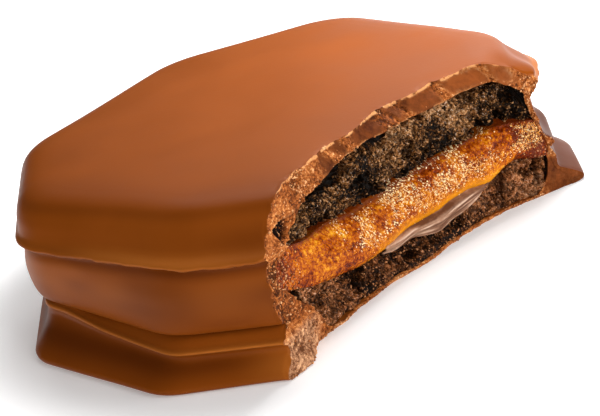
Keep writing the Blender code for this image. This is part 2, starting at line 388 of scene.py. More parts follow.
def coating_levels(columns):
    """Outer skin of the coating, from the top face down to the base.

    The disc ends in a thin lip with a tight undercut; the waist swells out below it and
    ends at a narrow seam; the ledge runs out to a raised crease, and the foot is hollow
    under it.
    """
    waist_top = mix(LIP, CREASE, 0.25)
    waist = mix(LIP, CREASE, 0.5)
    waist_low = mix(LIP, CREASE, 0.8)
    for outline in (waist_top, waist, waist_low):
        outline[RIGHT_SIDE + 1, 0] -= 1.0
    hollow = mix(CREASE, FOOT, 0.3)
    flare = mix(CREASE, FOOT, 0.75)
    disc, belly = DISC_ROUND, WAIST_ROUND
    return [level(TOP, DISC_TRIM + 4.4, HEIGHT, columns, disc - 1.5),
            level(TOP, DISC_TRIM + 2.5, HEIGHT - 0.14, columns, disc - 1.0),
            level(TOP, DISC_TRIM + 1.2, HEIGHT - 0.48, columns, disc - 0.5),
            level(TOP, DISC_TRIM + 0.4, HEIGHT - 1.05, columns, disc),
            level(mix(TOP, LIP, 0.10), DISC_TRIM * 0.6 + 0.1 + 0.25 * RIGHT, HEIGHT - 1.6, columns, disc),
            level(mix(TOP, LIP, 0.32), DISC_TRIM * 0.3 + 0.35 * RIGHT, HEIGHT - 2.4, columns, disc),
            level(mix(TOP, LIP, 0.60), LIP_TRIM * 0.5 + 0.15 - 0.3 * RIGHT, HEIGHT - 3.3, columns, disc),
            level(mix(TOP, LIP, 0.86), LIP_TRIM + 0.30 - 0.45 * RIGHT, LIP_Z + 0.45, columns, disc),
            level(LIP, LIP_TRIM + 0.10 - 0.3 * RIGHT, LIP_Z + 0.15, columns, disc),
            level(LIP, LIP_TRIM - 0.2 * RIGHT, LIP_Z - 0.1, columns, disc),
            level(LIP, LIP_TRIM + 0.40, LIP_Z - 0.4, columns, disc),
            level(LIP, LIP_TRIM + 0.90, LIP_Z - 0.6, columns, disc),
            level(waist_top, LIP_TRIM + 0.8, LIP_Z - 1.05, columns, belly),
            level(waist_top, LIP_TRIM + 0.4 + 0.3 * RIGHT, LIP_Z - 2.1, columns, belly),
            level(waist, LIP_TRIM + 0.7 * RIGHT, 9.6, columns, belly),
            level(waist_low, LIP_TRIM * 0.6 + 0.75 * RIGHT, 7.4, columns, belly),
            level(CREASE, 0.35, SEAM_Z + 0.65, columns, 9.0),
            level(CREASE, 0.7 - 0.35 * RIGHT - 0.2 * BACK_LEFT, SEAM_Z + 0.25, columns, 9.0),
            level(CREASE, 1.7 - 0.8 * RIGHT - 0.8 * BACK_LEFT, SEAM_Z + 0.05, columns, 9.0),
            level(CREASE, 1.5 - 0.6 * RIGHT - 0.7 * BACK_LEFT, SEAM_Z - 0.2, columns, 8.0),
            level(CREASE, 0.95 - 0.2 * RIGHT - 0.3 * BACK_LEFT, SEAM_Z - 0.65, columns, 7.0),
            level(CREASE, 0.45, CREASE_Z + 0.45, columns, 6.0),
            level(CREASE, 0.05 + 0.45 * RIGHT, CREASE_Z + 0.25, columns, 5.0),
            level(CREASE, 0.45 * RIGHT, CREASE_Z, columns, 5.0),
            level(CREASE, 0.5, CREASE_Z - 0.3, columns, 5.0),
            level(hollow, 1.0, CREASE_Z - 1.0, columns, 6.0),
            level(flare, 0.75, 1.8, columns),
            level(FOOT, 0.15, FOOT_EDGE_Z + 0.1, columns),
            level(FOOT, 0.0, 0.5, columns),
            level(FOOT, 0.2, 0.2, columns),
            level(FOOT, 0.8, 0.0, columns)]


def wall_insets(z, more, front_z):
    """Insets of the eight sides at a height: the tables in front and at right, else even."""
    insets = np.full(len(CORE), WALL)
    insets[FRONT_SIDE] = np.interp(front_z, *np.array(FRONT_WALL).T)
    insets[RIGHT_SIDE] = np.interp(z, *np.array(RIGHT_WALL).T)
    return insets + more


def core_level(more, z, columns, recess=0.0, front_z=None):
    """Level of the contents: the core outline, narrowed to the top outline at the shoulder.

    The front wall is as thick as at front_z, if that is given.
    """
    low, high = SHOULDER_Z
    corners = mix(CORE, TOP, smooth((z - low) / (high - low)))
    insets = wall_insets(z, more, z if front_z is None else front_z)
    return level(corners, insets, z, columns, recess=recess)


def cavity_levels(count, columns):
    """Inner skin of the coating, as many levels as the outer side has rows."""
    top = HEIGHT - TOP_SHELL
    heights = np.linspace(top - EDGE_ROUND, BASE_SHELL + EDGE_ROUND, count - 2)
    return [core_level(EDGE_ROUND, top, columns),
            *(core_level(0.0, z, columns) for z in heights),
            core_level(EDGE_ROUND, BASE_SHELL, columns)]


def skin_grid(top_line, side_rows, base_line, top_count, base_count, crowding):
    """Points and point numbers of a skin: flat top, side, flat base.

    The flat rows end in the side's first and last row, so at both bite ends they share
    the side's corner point.
    """
    top = flat_rows(top_line, side_rows[0], top_count, crowding)
    base = flat_rows(base_line, side_rows[-1], base_count, crowding)[::-1]
    points = np.concatenate([top, side_rows, base])
    index = np.arange(points.shape[0] * points.shape[1]).reshape(points.shape[:2])
    first, last = top_count, top_count + len(side_rows) - 1
    for column in (0, -1):
        index[:first, column] = index[first, column]
        index[last:, column] = index[last, column]
    return points, index


def skin_loop(index, top_count, base_count):
    """Point numbers round the open boundary of a skin, starting at the top left corner."""
    side = index[top_count:len(index) - base_count]
    return np.concatenate([index[0, :-1], side[:-1, -1], index[-1, :0:-1], side[:0:-1, 0]])


# How far the foot of the bite stands out along the bite
BASE_BULGE = ((-0.28, 0.0), (-0.22, 0.6), (-0.17, 0.9), (-0.12, 0.0), (-0.07, -0.7), (0.0, -0.4),
              (0.06, 0.0), (0.30, 0.2), (0.40, 0.8), (0.46, 1.1), (0.52, 0.8), (0.60, 0.3),
              (0.70, -0.1), (0.80, -0.4), (0.92, -0.3), (1.0, 0.0), (1.1, 0.0))


# How far the rim of the top stands out (or back) along the bite
RIM_SHIFT = ((-0.22, 0.4), (-0.17, 0.4), (-0.10, 0.0), (-0.05, -0.35), (0.01, -0.5), (0.06, -0.5),
             (0.12, -0.65), (0.17, -0.8), (0.22, -1.2), (0.27, -0.7), (0.31, -0.5), (0.36, -0.7),
             (0.42, -1.6), (0.47, -2.0), (0.53, -1.9), (0.57, -1.4), (0.60, -1.2), (0.63, -1.1),
             (0.66, -1.8), (0.69, -1.7), (0.72, -1.3), (0.80, -1.2), (0.84, -1.3), (0.88, -0.5),
             (0.92, 0.0), (1.1, 0.0))


def rim_shift(share, depth, z):
    """Push of the rim: the table's value at the top face, nothing 2 mm below it."""
    top = along(share, RIM_SHIFT) * smooth((z - HEIGHT + 2.1) / 2.1)
    lip = 0.7 * smooth((-0.08 - share) / 0.05) * bell((z - LIP_Z) / 0.9)
    return (top + lip) * bell(depth / 5.0)


def right_sag(points):
    """Bent corner of the disc at the right end of the bite: its rim drops and its side bulges."""
    x, y, z = (points[..., axis] for axis in range(3))
    inset = 27.19 + 0.0806 * y - x
    drop = smooth((3.6 - inset) / 2.6) * bell((y + 6.5) / 3.2) * smooth((z - 14.2) / 1.5)
    bulge = smooth((1.2 - inset) / 1.6) * bell((y + 3.4) / 2.8) * bell((z - 15.4) / 1.1)
    rise = 1.1 * bell((z - 3.9) / 1.3) * smooth((-18.0 - x) / 13.0)
    notch = 1.0 * bell((z - 4.1) / 0.9) * smooth((-24.0 - x) / 7.0)
    return np.stack([1.2 * bulge + notch, 0.0 * y, rise - 0.75 * drop], axis=-1)


def base_bulge(share, z):
    """Push of the bite's foot: the table's value, fading out up to 2.5 mm above the floor."""
    return along(share, BASE_BULGE) * smooth((2.5 - z) / 2.2)


def broken_edge_look(points):
    """How the broken chocolate looks at each point of the bite: facets, cracks and crumble.

    Facets are cells along the bite, slanting with height; each is pushed in or out by its
    own random number.  Where two cells meet, along the rim, at the left end and all over
    the walls below the lip, the chocolate is crumbled into small lumps.  A pit opens at
    the left shoulder, and the broken foot at the right end is smooth.
    """
    share, depth, out = bite_place(points)
    run = share * BITE_LENGTH
    z = points[..., 2]
    bent = run + 0.5 * z + 0.5 * cloud(points, 1.4, 12, 2)
    cell_place = np.stack([bent, 0.12 * z, 0.0 * z], axis=-1)
    nearest, second, number = grains(cell_place, 4.6, 11)
    crack = bell((second - nearest) / 0.09)
    wall = smooth((14.9 - z) / 0.8)
    left_end = smooth((0.16 - share + 0.05 * cloud(points, 3.0, 13, 2)) / 0.06)
    right_end = smooth((share - 0.955) / 0.04)
    fringe = bell((HEIGHT - 0.10 - z) / 0.26) + 0.6 * bell((z - along(share, UNDERSIDE)) / 0.25)
    fringe = fringe * smooth(cloud(points, 0.8, 14, 3) * 1.6 + 0.75)
    ragged = np.clip(crack + wall + left_end + right_end + 0.7 * fringe, 0.0, 1.0)
    foot = smooth((share - 0.99) / 0.03) * smooth((4.6 - z) / 0.6)
    ragged *= 1.0 - 0.9 * foot
    coarse = lumps(points + 0.3 * wobble(points, 0.7, 15), 1.3, 21)
    middle = lumps(points + 0.15 * wobble(points, 0.4, 16), 0.5, 22)
    fine = lumps(points, 0.26, 23)
    crumble = 0.34 * coarse + 0.18 * middle + 0.1 * fine - 0.24 + 0.26 * cloud(points, 2.2, 24, 3)
    crumble *= mix(0.45, 1.0, smooth((z - 0.2) / 1.2))
    facet = 0.42 * (number - 0.5) + 0.12 * cloud(points, 2.4, 25, 2)
    facet += 0.05 * cloud(np.stack([bent, 0.2 * z, 0.0 * z], axis=-1), 0.5, 26, 2)
    pit = np.exp(-((run + 3.9) / 1.5) ** 4) * np.exp(-((z - 14.0) / 0.9) ** 4)
    push = mix(facet, crumble, ragged) - 1.3 * pit + base_bulge(share, z)
    tip = np.clip(0.25 * coarse + 0.4 * middle + 0.35 * fine, 0.0, 1.0)
    # Painted shade on the broken wall at the left end, below the lip; the crumble is also darker along the
    # middle of the rim
    painted_left_shade = smooth((12.4 - z) / 1.0) * smooth((z - 4.6) / 1.0) * smooth((0.05 - share) / 0.1)
    middle_rim = bell((share - 0.42) / 0.2) * smooth(z - 14.0)
    tip = mix(0.6 * number + 0.6 * smooth((share - 0.62) / 0.15), tip - 0.45 * painted_left_shade - 0.6 * middle_rim, ragged)
    tip *= 1.0 - 0.8 * foot
    return push, ragged, tip, pit, fringe, out, depth, share


def lip_drips(points):
    """Small beads along the lower edge of the lip: outward and down, where a cloud is high."""
    radius = np.hypot(points[:, 0], points[:, 1])[:, None]
    outward = np.concatenate([points[:, :2] / radius, np.full((len(points), 1), -0.8)], axis=1)
    flat = points * (1.0, 1.0, 0.0)
    beads = smooth(cloud(flat, 1.5, 35, 2) * 0.5 + 0.4) * smooth(cloud(flat, 9.0, 36, 1) + 0.45)
    return outward * (0.34 * beads * bell((points[:, 2] - LIP_Z + 0.25) / 0.42))[:, None]


def painted_skin_light_and_shade(points):
    """Painted light and shade on the skin: painted highlights (crease, lip, right of the foot, bands on the
    waist) and painted shade (seam, foot, disc wall, waist, under the lip, front edge, right rear).
    """
    x, y, z = points.T
    patchy = 0.6 + 0.7 * cloud(points, 14.0, 37, 1)
    # Painted highlights along the crease and the lip's lower edge, and painted light on the right part of the
    # foot
    pale = 1.2 * bell((z - CREASE_Z - 0.12) / 0.2) + 1.5 * bell((z - LIP_Z - 0.15) / 0.5) * patchy
    pale += 1.0 * smooth((x + 13.0) / 11.0) * smooth((20.0 - x) / 6.0) * bell((z - 1.5) / 1.3)
    way = np.roll(TOP, -1, axis=0) - TOP
    way /= np.linalg.norm(way, axis=1)[:, None]
    inward = np.stack([-way[:, 1], way[:, 0]], axis=1)
    inset = ((points[:, None, :2] - TOP) * inward).sum(axis=2)
    edge = np.minimum(inset[:, 1], inset[:, 2])
    # Painted shade in the seam, left of the foot, along the top's front edge, on the waist, under the lip, on
    # the disc wall and low at the right rear
    painted_shade = 1.0 * bell((z - SEAM_Z) / 0.25) + bell((z - 2.3) / 0.9) * smooth((-5.0 - x) / 9.0)
    painted_shade += 0.4 * smooth((9.0 - edge) / 8.0) * smooth((z - HEIGHT + 1.6) / 0.8)
    painted_shade += 0.55 * smooth((x + 26.0) / 10.0) * bell((z - 9.6) / 2.8) + 0.8 * bell((z - 12.6) / 0.7)
    painted_shade += 0.5 * smooth((x + 15.0) / 8.0) * smooth((8.0 - x) / 4.0) * bell((z - 15.0) / 1.2)
    painted_shade += 1.2 * smooth((x - 19.0) / 10.0) * smooth((10.0 - z) / 3.0)
    # Soft bands on the waist: painted shade and painted light
    bands = cloud(points * (0.35, 0.35, 1.0), 3.4, 38, 2)
    waist = bell((z - 9.6) / 3.4)
    painted_shade += 0.75 * waist * smooth(0.9 * bands + 0.35)
    pale += 0.35 * waist * smooth(0.35 - 0.9 * bands)
    return np.clip(pale, 0.0, 1.0), np.clip(painted_shade, 0.0, 1.3)


def make_coating():
    """Coating: outer skin, inner skin, and the broken edge that joins them at the bite."""
    columns = COATING_COLUMNS
    levels = coating_levels(columns)
    sides = fine_rows([side for side, line in levels], COATING_STEP)
    top_count, base_count = 18, 6
    outer, outer_index = skin_grid(levels[0][1], sides, levels[-1][1], top_count, base_count, 2.2)
    inner_levels = cavity_levels(len(sides), columns)
    inner_sides = np.array([side for side, line in inner_levels])
    inner_top, inner_base = 8, 4
    inner, inner_index = skin_grid(inner_levels[0][1], inner_sides, inner_levels[-1][1],
                                   inner_top, inner_base, 2.2)
    share, depth, out = bite_place(inner)
    near = bell(np.maximum(depth, 0.0) / 4.0)
    low, high = BASE_SHELL, HEIGHT - TOP_SHELL
    lift = (along(share, UNDERSIDE) - high) * smooth((inner[..., 2] - 11.0) / 5.0)
    drop = (BASE_RIM - low) * smooth((3.0 - inner[..., 2]) / 2.4)
    inner[..., 2] += near * (lift + drop)

    count = outer.shape[0] * outer.shape[1]
    inner_index = inner_index + count
    points = np.concatenate([outer.reshape(-1, 3), inner.reshape(-1, 3)])
    outer_loop = skin_loop(outer_index, top_count, base_count)
    inner_loop = skin_loop(inner_index, inner_top, inner_base)
    shares = (np.arange(1, EDGE_STEPS) / EDGE_STEPS)[:, None, None]
    between = mix(points[outer_loop][None], points[inner_loop][None], shares)
    between_index = np.arange(between.shape[0] * between.shape[1]).reshape(between.shape[:2])
    between_index += len(points)
    edge_index = np.concatenate([outer_loop[None], between_index, inner_loop[None]])
    edge_index = np.concatenate([edge_index, edge_index[:, :1]], axis=1)
    kind = np.concatenate([np.zeros(count), np.full(inner.shape[0] * inner.shape[1], 0.0),
                           np.ones(between_index.size)])
    kind[outer_loop] = 1.0
    kind[inner_loop] = 1.0
    points = np.concatenate([points, between.reshape(-1, 3)])
    quads = np.concatenate([grid_quads(outer_index), grid_quads(inner_index)[:, ::-1],
                            grid_quads(edge_index)[:, ::-1]])

    push, ragged, tip, pit, fringe, out, depth, share = broken_edge_look(points)
    near = bell(np.maximum(depth, 0.0) / 0.5)
    moved = points + out * (push * near + rim_shift(share, depth, points[:, 2]))[:, None]
    moved += right_sag(points)
    moved += 0.14 * wobble(points, 0.9, 31) * (near * ragged)[:, None]
    moved += 0.10 * wobble(points, 9.0, 32, 1) * (1.0 - near)[:, None]
    moved += lip_drips(points) * (1.0 - near)[:, None]
    moved[:, 2] = np.where(points[:, 2] < 1e-6, 0.0, np.maximum(moved[:, 2], 0.0))
    dust = 0.6 * smooth((4.4 - points[:, 2]) / 1.5) * smooth((-0.02 - share) / 0.08)
    # Painted highlights and painted shade for the skin
    pale, painted_shade = painted_skin_light_and_shade(points)
    values = {"pale": pale, "painted_shade": painted_shade, "broken": kind, "crumble": ragged, "tip": tip,
              "pit": pit, "fringe": fringe, "dust": dust}
    piece = make_piece("coating", moved, quads, values, "chocolate_coating")
    piece.data.materials.append(milk_chocolate())
    return moved[edge_index], ragged[edge_index]


# ---------------------------------------------------------------- biscuits and caramel

LAYER_COLUMNS = 700
FLAT_ROWS = 9           # across the top and the base of a layer
END_CUT = 0.006         # share of a layer's length cut off at both ends of the bite
# How far each side of a layer sinks into the coating's wall: deeper at both bite ends
BURIED = 0.1 + 0.25 * RIGHT + 0.4 * np.eye(8)[FRONT_SIDE]
SIDE_ROUND = EDGE_ROUND * (1.0 - 0.9 * RIGHT)
SIDE_ROUND[FRONT_SIDE] = 0.1
BASE_RIM = 0.3          # thickness of the base shell at the bite

# Height of the joint between upper biscuit and caramel along the bite
UPPER_JOINT = ((-0.15, 12.2), (-0.09, 11.9), (-0.02, 11.1), (0.03, 10.9), (0.10, 10.7),
               (0.17, 10.3), (0.26, 9.4), (0.28, 9.7), (0.36, 9.5), (0.41, 9.4), (0.46, 9.7),
               (0.55, 9.6), (0.63, 10.0), (0.71, 9.9), (0.77, 10.2), (0.85, 10.5), (0.92, 10.1),
               (0.99, 9.6), (1.05, 8.9))

# Height of the caramel's hanging lip along the bite
CARAMEL_LIP = ((-0.20, 8.8), (-0.14, 7.7), (-0.03, 6.0), (0.06, 5.1), (0.13, 4.5), (0.21, 4.0),
               (0.27, 3.9), (0.34, 4.0), (0.42, 4.4), (0.51, 4.2), (0.58, 4.3), (0.63, 4.6),
               (0.70, 4.8), (0.76, 4.3), (0.79, 4.2), (0.82, 4.7), (0.85, 5.1), (0.88, 5.5),
               (0.92, 5.6), (0.96, 5.0), (1.05, 4.6))

# Top of the upper biscuit along the bite: low where a gap opens under the shell
UPPER_TOP = ((-0.12, 12.9), (0.02, 13.6), (0.10, 14.0), (0.16, 13.9), (0.19, 13.3), (0.23, 13.3), (0.26, 14.9),
             (0.32, 15.4), (0.38, 15.9), (0.43, 14.6), (0.47, 14.4), (0.50, 15.6), (0.52, 15.8), (0.62, 15.4),
             (0.69, 15.3), (0.74, 15.7), (0.83, 15.2), (0.94, 15.2),
             (1.05, 14.4))

# Top and base of the lower biscuit along the bite
LOWER_TOP = ((-0.30, 7.6), (-0.14, 7.2), (-0.03, 6.0), (0.05, 5.2), (0.11, LOWER_Z[1]),
             (0.80, LOWER_Z[1]), (0.88, 5.6), (0.92, 5.8), (0.97, 5.6), (1.05, 5.2))
LOWER_BASE = ((0.0, BASE_RIM), (1.0, BASE_RIM))

# How brown the biscuits are, along their base and along their top
UPPER_TONES = (((0.0, 0.45), (0.3, 0.30), (0.6, 0.15), (0.75, 0.15), (1.0, 0.20)),
               ((0.0, 0.40), (0.2, 0.45), (0.4, 0.80), (0.75, 0.95), (0.86, 0.40), (1.0, 0.35)))
LOWER_TONES = (((-0.2, 1.00), (0.1, 0.65), (0.25, 0.20), (0.6, 0.0), (0.8, 0.55), (1.0, 0.90)),
               ((-0.2, 1.00), (0.1, 0.85), (0.25, 0.0), (0.5, 0.0), (0.8, 0.40), (1.0, 0.90)))

# Lower edge of the drawn skin under the caramel along the bite
SKIN_EDGE = ((0.26, 3.9), (0.31, 3.5), (0.35, 3.1), (0.39, 3.2), (0.43, 3.4), (0.51, 2.5),
             (0.56, 2.1), (0.60, 2.6), (0.67, 2.8), (0.72, 3.3), (0.76, 3.9), (0.79, 4.2))


def trimmed(rows):
    """Rows of points without the ends: even steps over the middle of each row's columns."""
    count = rows.shape[1]
    place = np.linspace(END_CUT, 1.0 - END_CUT, count) * (count - 1)
    left = np.minimum(place.astype(int), count - 2)
    return mix(rows[:, left], rows[:, left + 1], (place - left)[None, :, None])


def layer_rings(z_range, recess, face_rows, upper, lower, front_z=None):
    """Closed rings of a layer: across its top, down its back, across its base, up the bite.

    Next to the bite the top and the base follow the two height tables, and further in
    they are flat.  Returns the points by row and column, and each row's share of the way
    up the bitten face, which is -1 on the other rows.
    """
    low, high = z_range
    heights = [(high, 1.0), (high - 0.3 * EDGE_ROUND, 0.3), (high - EDGE_ROUND, 0.0),
               (mix(low, high, 0.5), 0.0),
               (low + EDGE_ROUND, 0.0), (low + 0.3 * EDGE_ROUND, 0.3), (low, 1.0)]
    levels = [core_level(SIDE_ROUND * inward - BURIED, z, LAYER_COLUMNS, recess, front_z)
              for z, inward in heights]
    sides = trimmed(np.array([side for side, line in levels]))
    top_line, base_line = trimmed(np.array([levels[0][1], levels[-1][1]]))
    top = flat_rows(top_line, sides[0], FLAT_ROWS, 2.4)
    base = flat_rows(base_line, sides[-1], FLAT_ROWS, 2.4)[::-1]
    rings = np.concatenate([top, sides, base])
    share, depth, out = bite_place(rings)
    near = bell(np.maximum(depth - recess, 0.0) / 3.0)
    down = (high - rings[..., 2]) / (high - low)
    change = mix(along(share, upper) - high, along(share, lower) - low, down)
    rings[..., 2] += near * change
    climb = np.arange(1, face_rows) / face_rows
    face = mix(rings[-1][None], rings[0][None], climb[:, None, None])
    row_climb = np.concatenate([np.full(len(rings), -1.0), climb])
    row_climb[0] = 1.0
    row_climb[len(rings) - 1] = 0.0
    return np.concatenate([rings, face]), row_climb


def make_layer(name, rings, values, node, finish):
    """Closed piece from rings of points and named values of the same shape."""
    rows, columns = rings.shape[:2]
    index = np.arange(rows * columns).reshape(rows, columns)
    closed = np.concatenate([index, index[:1]])
    caps = (index[:, 0], index[::-1, -1])
    flat = {key: value.ravel() for key, value in values.items()}
    piece = make_piece(name, rings.reshape(-1, 3), grid_quads(closed), flat, node, caps)
    piece.data.materials.append(finish)
    return piece


def crumb_relief(points, seed):
    """Relief of a bitten biscuit: soft hollows, lumps of four sizes, and scattered holes."""
    big = cloud(points, 3.4, seed, 2)
    bent = points + 0.35 * wobble(points, 1.0, seed + 7)
    clumps = lumps(bent, 1.7, seed + 1)
    crumbs = lumps(bent, 0.8, seed + 2)
    specks = lumps(points + 0.1 * wobble(points, 0.3, seed + 8), 0.36, seed + 3)
    dust = lumps(points, 0.2, seed + 5)
    hole = smooth((cloud(points, 1.6, seed + 4, 3) - 0.18) / 0.18)
    push = 0.7 * big + 0.6 * clumps + 0.34 * crumbs + 0.2 * specks + 0.1 * dust - 0.75 - 0.8 * hole
    # The last two values colour the biscuit: paler grain tops as a painted highlight, and holes and clefts
    # painted near black as painted shade
    tip = np.clip(0.2 * crumbs + 0.45 * specks + 0.35 * dust, 0.0, 1.0) * (1.0 - 0.6 * hole)
    return push, tip, mix(clumps * 0.5 + 0.5 * crumbs, 0.0, hole)


def make_biscuit(name, z_range, upper, lower, face_rows, seed, node, stops, tones, slope=0.0):
    """Cocoa biscuit: the layer's rings with crumb relief pushed out of the bitten face.

    The face leans back by the slope from its base to its top.  The tones are two tables,
    how brown it is along its base and along its top.
    """
    recess = 0.7 if slope == 0.0 else 0.15
    rings, climb = layer_rings(z_range, recess, face_rows, upper, lower)
    share, depth, out = bite_place(rings)
    near = bell(np.maximum(depth - recess, 0.0) / 1.2)
    push, tip, clump = crumb_relief(rings, seed)
    low, high = z_range
    push -= slope * smooth((rings[..., 2] - low) / (high - low))
    push += 0.30 * (1.0 - smooth((share + 0.05) / 0.12)) + 0.65 * smooth((share - 0.93) / 0.07)
    if slope == 0.0:
        edge_line = along(share, upper)
        push -= 0.7 * bell((edge_line - rings[..., 2]) / 0.45)
    if slope:
        push *= mix(1.0, 0.35, smooth((low + 0.7 - rings[..., 2]) / 0.7))
        push += base_bulge(share, rings[..., 2])
    moved = rings + out * (push * near)[..., None]
    moved += 0.12 * wobble(rings, 0.7, seed + 9) * near[..., None]
    moved[..., 2] = np.maximum(moved[..., 2], BASE_RIM)
    rise = np.where(climb < 0.0, 1.0, climb)[:, None]
    brown = along(share, tones[0]) * (1.0 - rise) + along(share, tones[1]) * rise
    brown = np.clip(brown + 0.7 * cloud(rings, 4.0, seed + 11, 2), 0.0, 1.0)
    # Off the bitten face the colour values are 0, so those faces, such as the top in the gap under the shell,
    # are painted near black as painted shade
    inside = climb[:, None] < 0.0
    brown, clump, tip = (np.where(inside, 0.0, value) for value in (brown, clump, tip))
    make_layer(name, moved, {"tip": tip, "clump": clump, "brown": brown}, node,
               cocoa_crumb(name + "_crumb", seed, *stops))
    face = climb >= 0.0
    return moved[face], tip[face]


def make_caramel():
    """Caramel: a face that slopes out of the bite to a rounded lip, which hangs below.

    The swell of the face is a power of the sine of its height share, fullest near the
    lip; grains of sugar stand out of its upper part.
    """
    rings, climb = layer_rings(CARAMEL_Z, 0.3, 76, UPPER_JOINT, CARAMEL_LIP, front_z=9.8)
    share, depth, out = bite_place(rings)
    down = np.where(climb < 0.0, 0.0, 1.0 - climb)[:, None] + 0.0 * share
    on_face = np.where(climb < 0.0, 0.0, 1.0)[:, None]
    ends = smooth((share + 0.17) / 0.34) * smooth((1.05 - share) / 0.20)
    flush = 0.45 * smooth((share - 0.92) / 0.08)
    swell = 1.5 * ends * np.sin(np.pi * np.clip(down, 0.0, 1.0) ** 1.6) ** 0.7
    swell -= 0.45 * bell(down / 0.14) * ends
    near = np.where(on_face > 0.0, 1.0, bell(np.maximum(depth - 0.3, 0.0) / 0.8))
    sugar = smooth((0.80 - down) / 0.35)
    fine = lumps(rings, 0.30, 52)
    coarse = lumps(rings, 0.8, 51)
    dust = lumps(rings, 0.18, 54)
    relief = sugar * (0.20 * coarse + 0.14 * fine + 0.05 * dust) + 0.28 * cloud(rings, 2.4, 53, 2)
    relief += (1.0 - sugar) * 0.05 * fine
    relief *= mix(0.4, 1.0, ends)
    moved = rings + out * ((swell * on_face + relief - 0.1 + flush) * near)[..., None]
    # Pale specks in the middle of the bite: sugar grains and painted glints
    pale = smooth((share - 0.02) / 0.25) * smooth((0.92 - share) / 0.2)
    # Painted shade at both ends of the bite, next to the walls
    painted_end_shade = smooth((share - 0.84) / 0.10) + 0.8 * smooth((0.0 - share) / 0.14)
    values = {"down": down, "sugar": sugar * mix(fine, dust, 0.4) * pale,
              "tip": mix(fine, coarse, 0.4), "painted_end_shade": painted_end_shade,
              # Painted light glowing on the lower middle of the face
              "painted_glow": smooth((share - 0.22) / 0.15) * smooth((0.86 - share) / 0.1)}
    make_layer("caramel", moved, values, "caramel_filling", caramel_finish())
    face = climb >= 0.0
    return moved[face], down[face]


def make_skin():
    """Drawn skin that hangs under the caramel's lip: a thin streaked sheet.

    Each column runs from inside the lip, out over the lower biscuit, and down to the
    skin's edge; the back sheet is the front one moved inward, and the edges are joined.
    """
    share, down = np.meshgrid(np.linspace(0.31, 0.785, 260), np.linspace(0.0, 1.0, 36))
    top = along(share, CARAMEL_LIP) + 0.75
    z = mix(top, along(share, SKIN_EDGE), down)
    taper = smooth((share - 0.31) / 0.10) * smooth((0.785 - share) / 0.05)
    depth = mix(0.3, -0.95, smooth(down / 0.35)) + 0.75 * smooth((down - 0.45) / 0.55)
    flat = np.stack([share * BITE_LENGTH, z * 3.0, 0.0 * z], axis=-1)
    streak = cloud(np.stack([share * 12.0, down * 9.0 + 5.0 * share, 0.0 * z], axis=-1), 1.0, 81, 3)
    depth -= 0.10 * streak + 0.12 * cloud(flat, 3.0, 82, 2)
    depth += 0.5 * (1.0 - taper)
    turn = mix(BITE_TURNS[0], BITE_TURNS[1], share)
    points = []
    for back in (0.0, 0.14):
        reach = BITE_RADIUS + depth + back
        points.append(np.stack([BITE_CENTRE[0] + reach * np.cos(turn),
                                BITE_CENTRE[1] + reach * np.sin(turn), z], axis=-1))
    rings = np.concatenate([points[0], points[1][::-1]])
    streaks = np.concatenate([streak, streak[::-1]])
    finish = caramel_skin_finish()
    make_layer("caramel_skin", rings, {"streak": streaks}, None, finish)


# ---------------------------------------------------------------- crumbs

GOLDEN = (1.0 + 5.0 ** 0.5) / 2.0

# Corners and faces of the regular solid with twenty sides
CRUMB_CORNERS = np.array(((-1, GOLDEN, 0), (1, GOLDEN, 0), (-1, -GOLDEN, 0), (1, -GOLDEN, 0),
                          (0, -1, GOLDEN), (0, 1, GOLDEN), (0, -1, -GOLDEN), (0, 1, -GOLDEN),
                          (GOLDEN, 0, -1), (GOLDEN, 0, 1), (-GOLDEN, 0, -1), (-GOLDEN, 0, 1)))
CRUMB_FACES = np.array(((0, 11, 5), (0, 5, 1), (0, 1, 7), (0, 7, 10), (0, 10, 11), (1, 5, 9),
                        (5, 11, 4), (11, 10, 2), (10, 7, 6), (7, 1, 8), (3, 9, 4), (3, 4, 2),
                        (3, 2, 6), (3, 6, 8), (3, 8, 9), (4, 9, 5), (2, 4, 11), (6, 2, 10),
                        (8, 6, 7), (9, 8, 1)))


def scatter(name, surface, weight, count, sizes, seed, finish):
    """Crumbs of one kind in one mesh, half sunk in the surface.

    Places are drawn from the surface's points by weight.  Each crumb is the twenty-sided
    solid with its corners pulled in and out at random, stretched three ways, turned at
    random, and scaled to a width between the two sizes, most of them small.
    """
    draw = np.random.default_rng(seed)
    flat = surface.reshape(-1, 3)
    chance = weight.ravel() / weight.sum()
    centre = flat[draw.choice(len(flat), count, p=chance)]
    width = mix(sizes[0], sizes[1], draw.random(count) ** 2.5)
    shape = CRUMB_CORNERS / np.linalg.norm(CRUMB_CORNERS[0])
    shape = shape * mix(0.7, 1.2, draw.random((count, 12, 1)))
    shape = shape * mix(0.6, 1.2, draw.random((count, 1, 3)))
    turns = np.linalg.qr(draw.normal(size=(count, 3, 3)))[0]
    turns = turns * np.linalg.det(turns)[:, None, None]
    points = centre[:, None] + shape @ turns * (0.5 * width)[:, None, None]
    points[..., 2] = np.maximum(points[..., 2], 0.0)
    faces = CRUMB_FACES[:, (0, 1, 2, 2)]
    quads = (faces[None] + 12 * np.arange(count)[:, None, None]).reshape(-1, 4)
    tone = np.repeat(draw.random(count), 12)
    piece = make_piece(name, points.reshape(-1, 3), quads, {"tone": tone}, None)
    piece.data.materials.append(finish)


